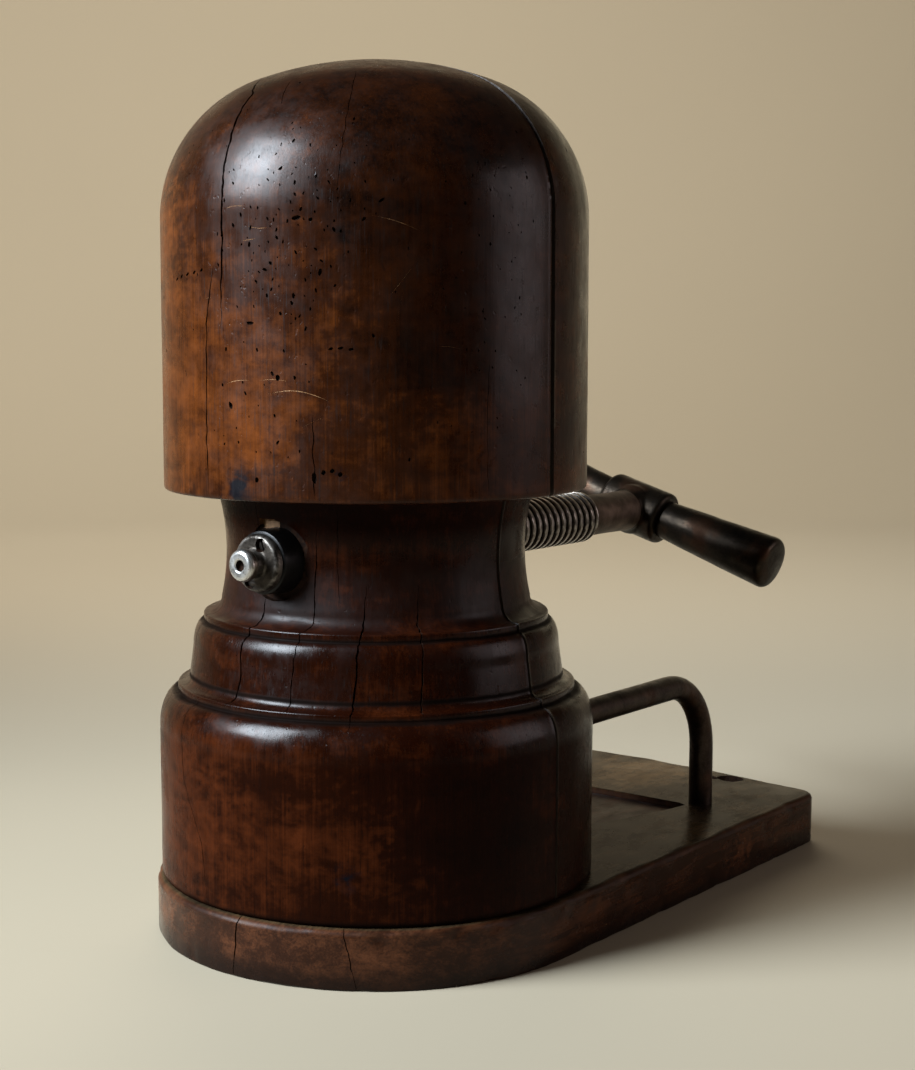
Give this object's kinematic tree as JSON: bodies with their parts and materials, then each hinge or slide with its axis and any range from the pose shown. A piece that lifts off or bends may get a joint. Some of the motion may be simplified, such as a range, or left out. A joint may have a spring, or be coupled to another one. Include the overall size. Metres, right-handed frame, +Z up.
{
  "type": "expanding hat block",
  "caption": "Split wooden head on a moulded pedestal; a tee-handled screw slides the rear half back along two iron guide stays over a flat board.",
  "frame": {"origin": "on the pedestal's axis, at the underside of the board, where it rests on a table", "axes": "+Z up, -Y towards the nose of the board and the screw's bearing, +Y towards the tee handle"},
  "size_m": [0.186, 0.3376, 0.3588],
  "materials": {
    "head_wood": "dark french-polished hardwood, worn and pitted, satin to gloss",
    "pedestal_wood": "dark red-brown french-polished hardwood, glossy",
    "board_wood": "dark worn hardwood, satin",
    "dowel_wood": "bare hardwood",
    "black_wood": "ebonised hardwood, satin",
    "thread_steel": "dark steel with bright worn thread crests",
    "bright_steel": "bright worn steel",
    "grey_iron": "grey iron, handled smooth",
    "handle_iron": "dark brown handled iron, semi-gloss",
    "stay_iron": "dark brown iron bar, semi-gloss",
    "screw_iron": "dark iron fasteners"
  },
  "bodies": {
    "base": {"base_board": "board_wood", "pedestal_front": "pedestal_wood", "head_front": "head_wood", "head_dowels_front": "dowel_wood", "base_screws": "screw_iron", "bearing_boss": "black_wood", "bearing_flange": "grey_iron", "flange_screws": "screw_iron", "thrust_plate": "grey_iron", "thrust_plate_screws": "screw_iron", "guide_stay_right": "stay_iron", "guide_stay_left": "stay_iron", "stay_nuts": "screw_iron"},
    "screw": {"screw_spindle": "thread_steel", "end_knob": "bright_steel", "tee_socket": "handle_iron", "handle_arm_right": "handle_iron", "handle_arm_left": "handle_iron"},
    "rear_half": {"pedestal_rear": "pedestal_wood", "head_rear": "head_wood", "head_dowels_rear": "dowel_wood", "nut_plate": "grey_iron", "nut_plate_screws": "screw_iron", "slide_key": "dowel_wood", "slide_key_screws": "screw_iron"}
  },
  "joints": [
    {"name": "screw_spin", "type": "hinge", "parent": "base", "child": "screw", "pos_m": [0, 0, 0.16], "axis": [0, -1, 0], "range_deg": [0, 3600]},
    {"name": "rear_slide", "type": "slide", "parent": "base", "child": "rear_half", "axis": [0, 1, 0], "range_m": [0, 0.05]}
  ],
  "couplings": [
    {"joint": "rear_slide", "follows": "screw_spin", "m_per_rad": 0.00079577}
  ]
}
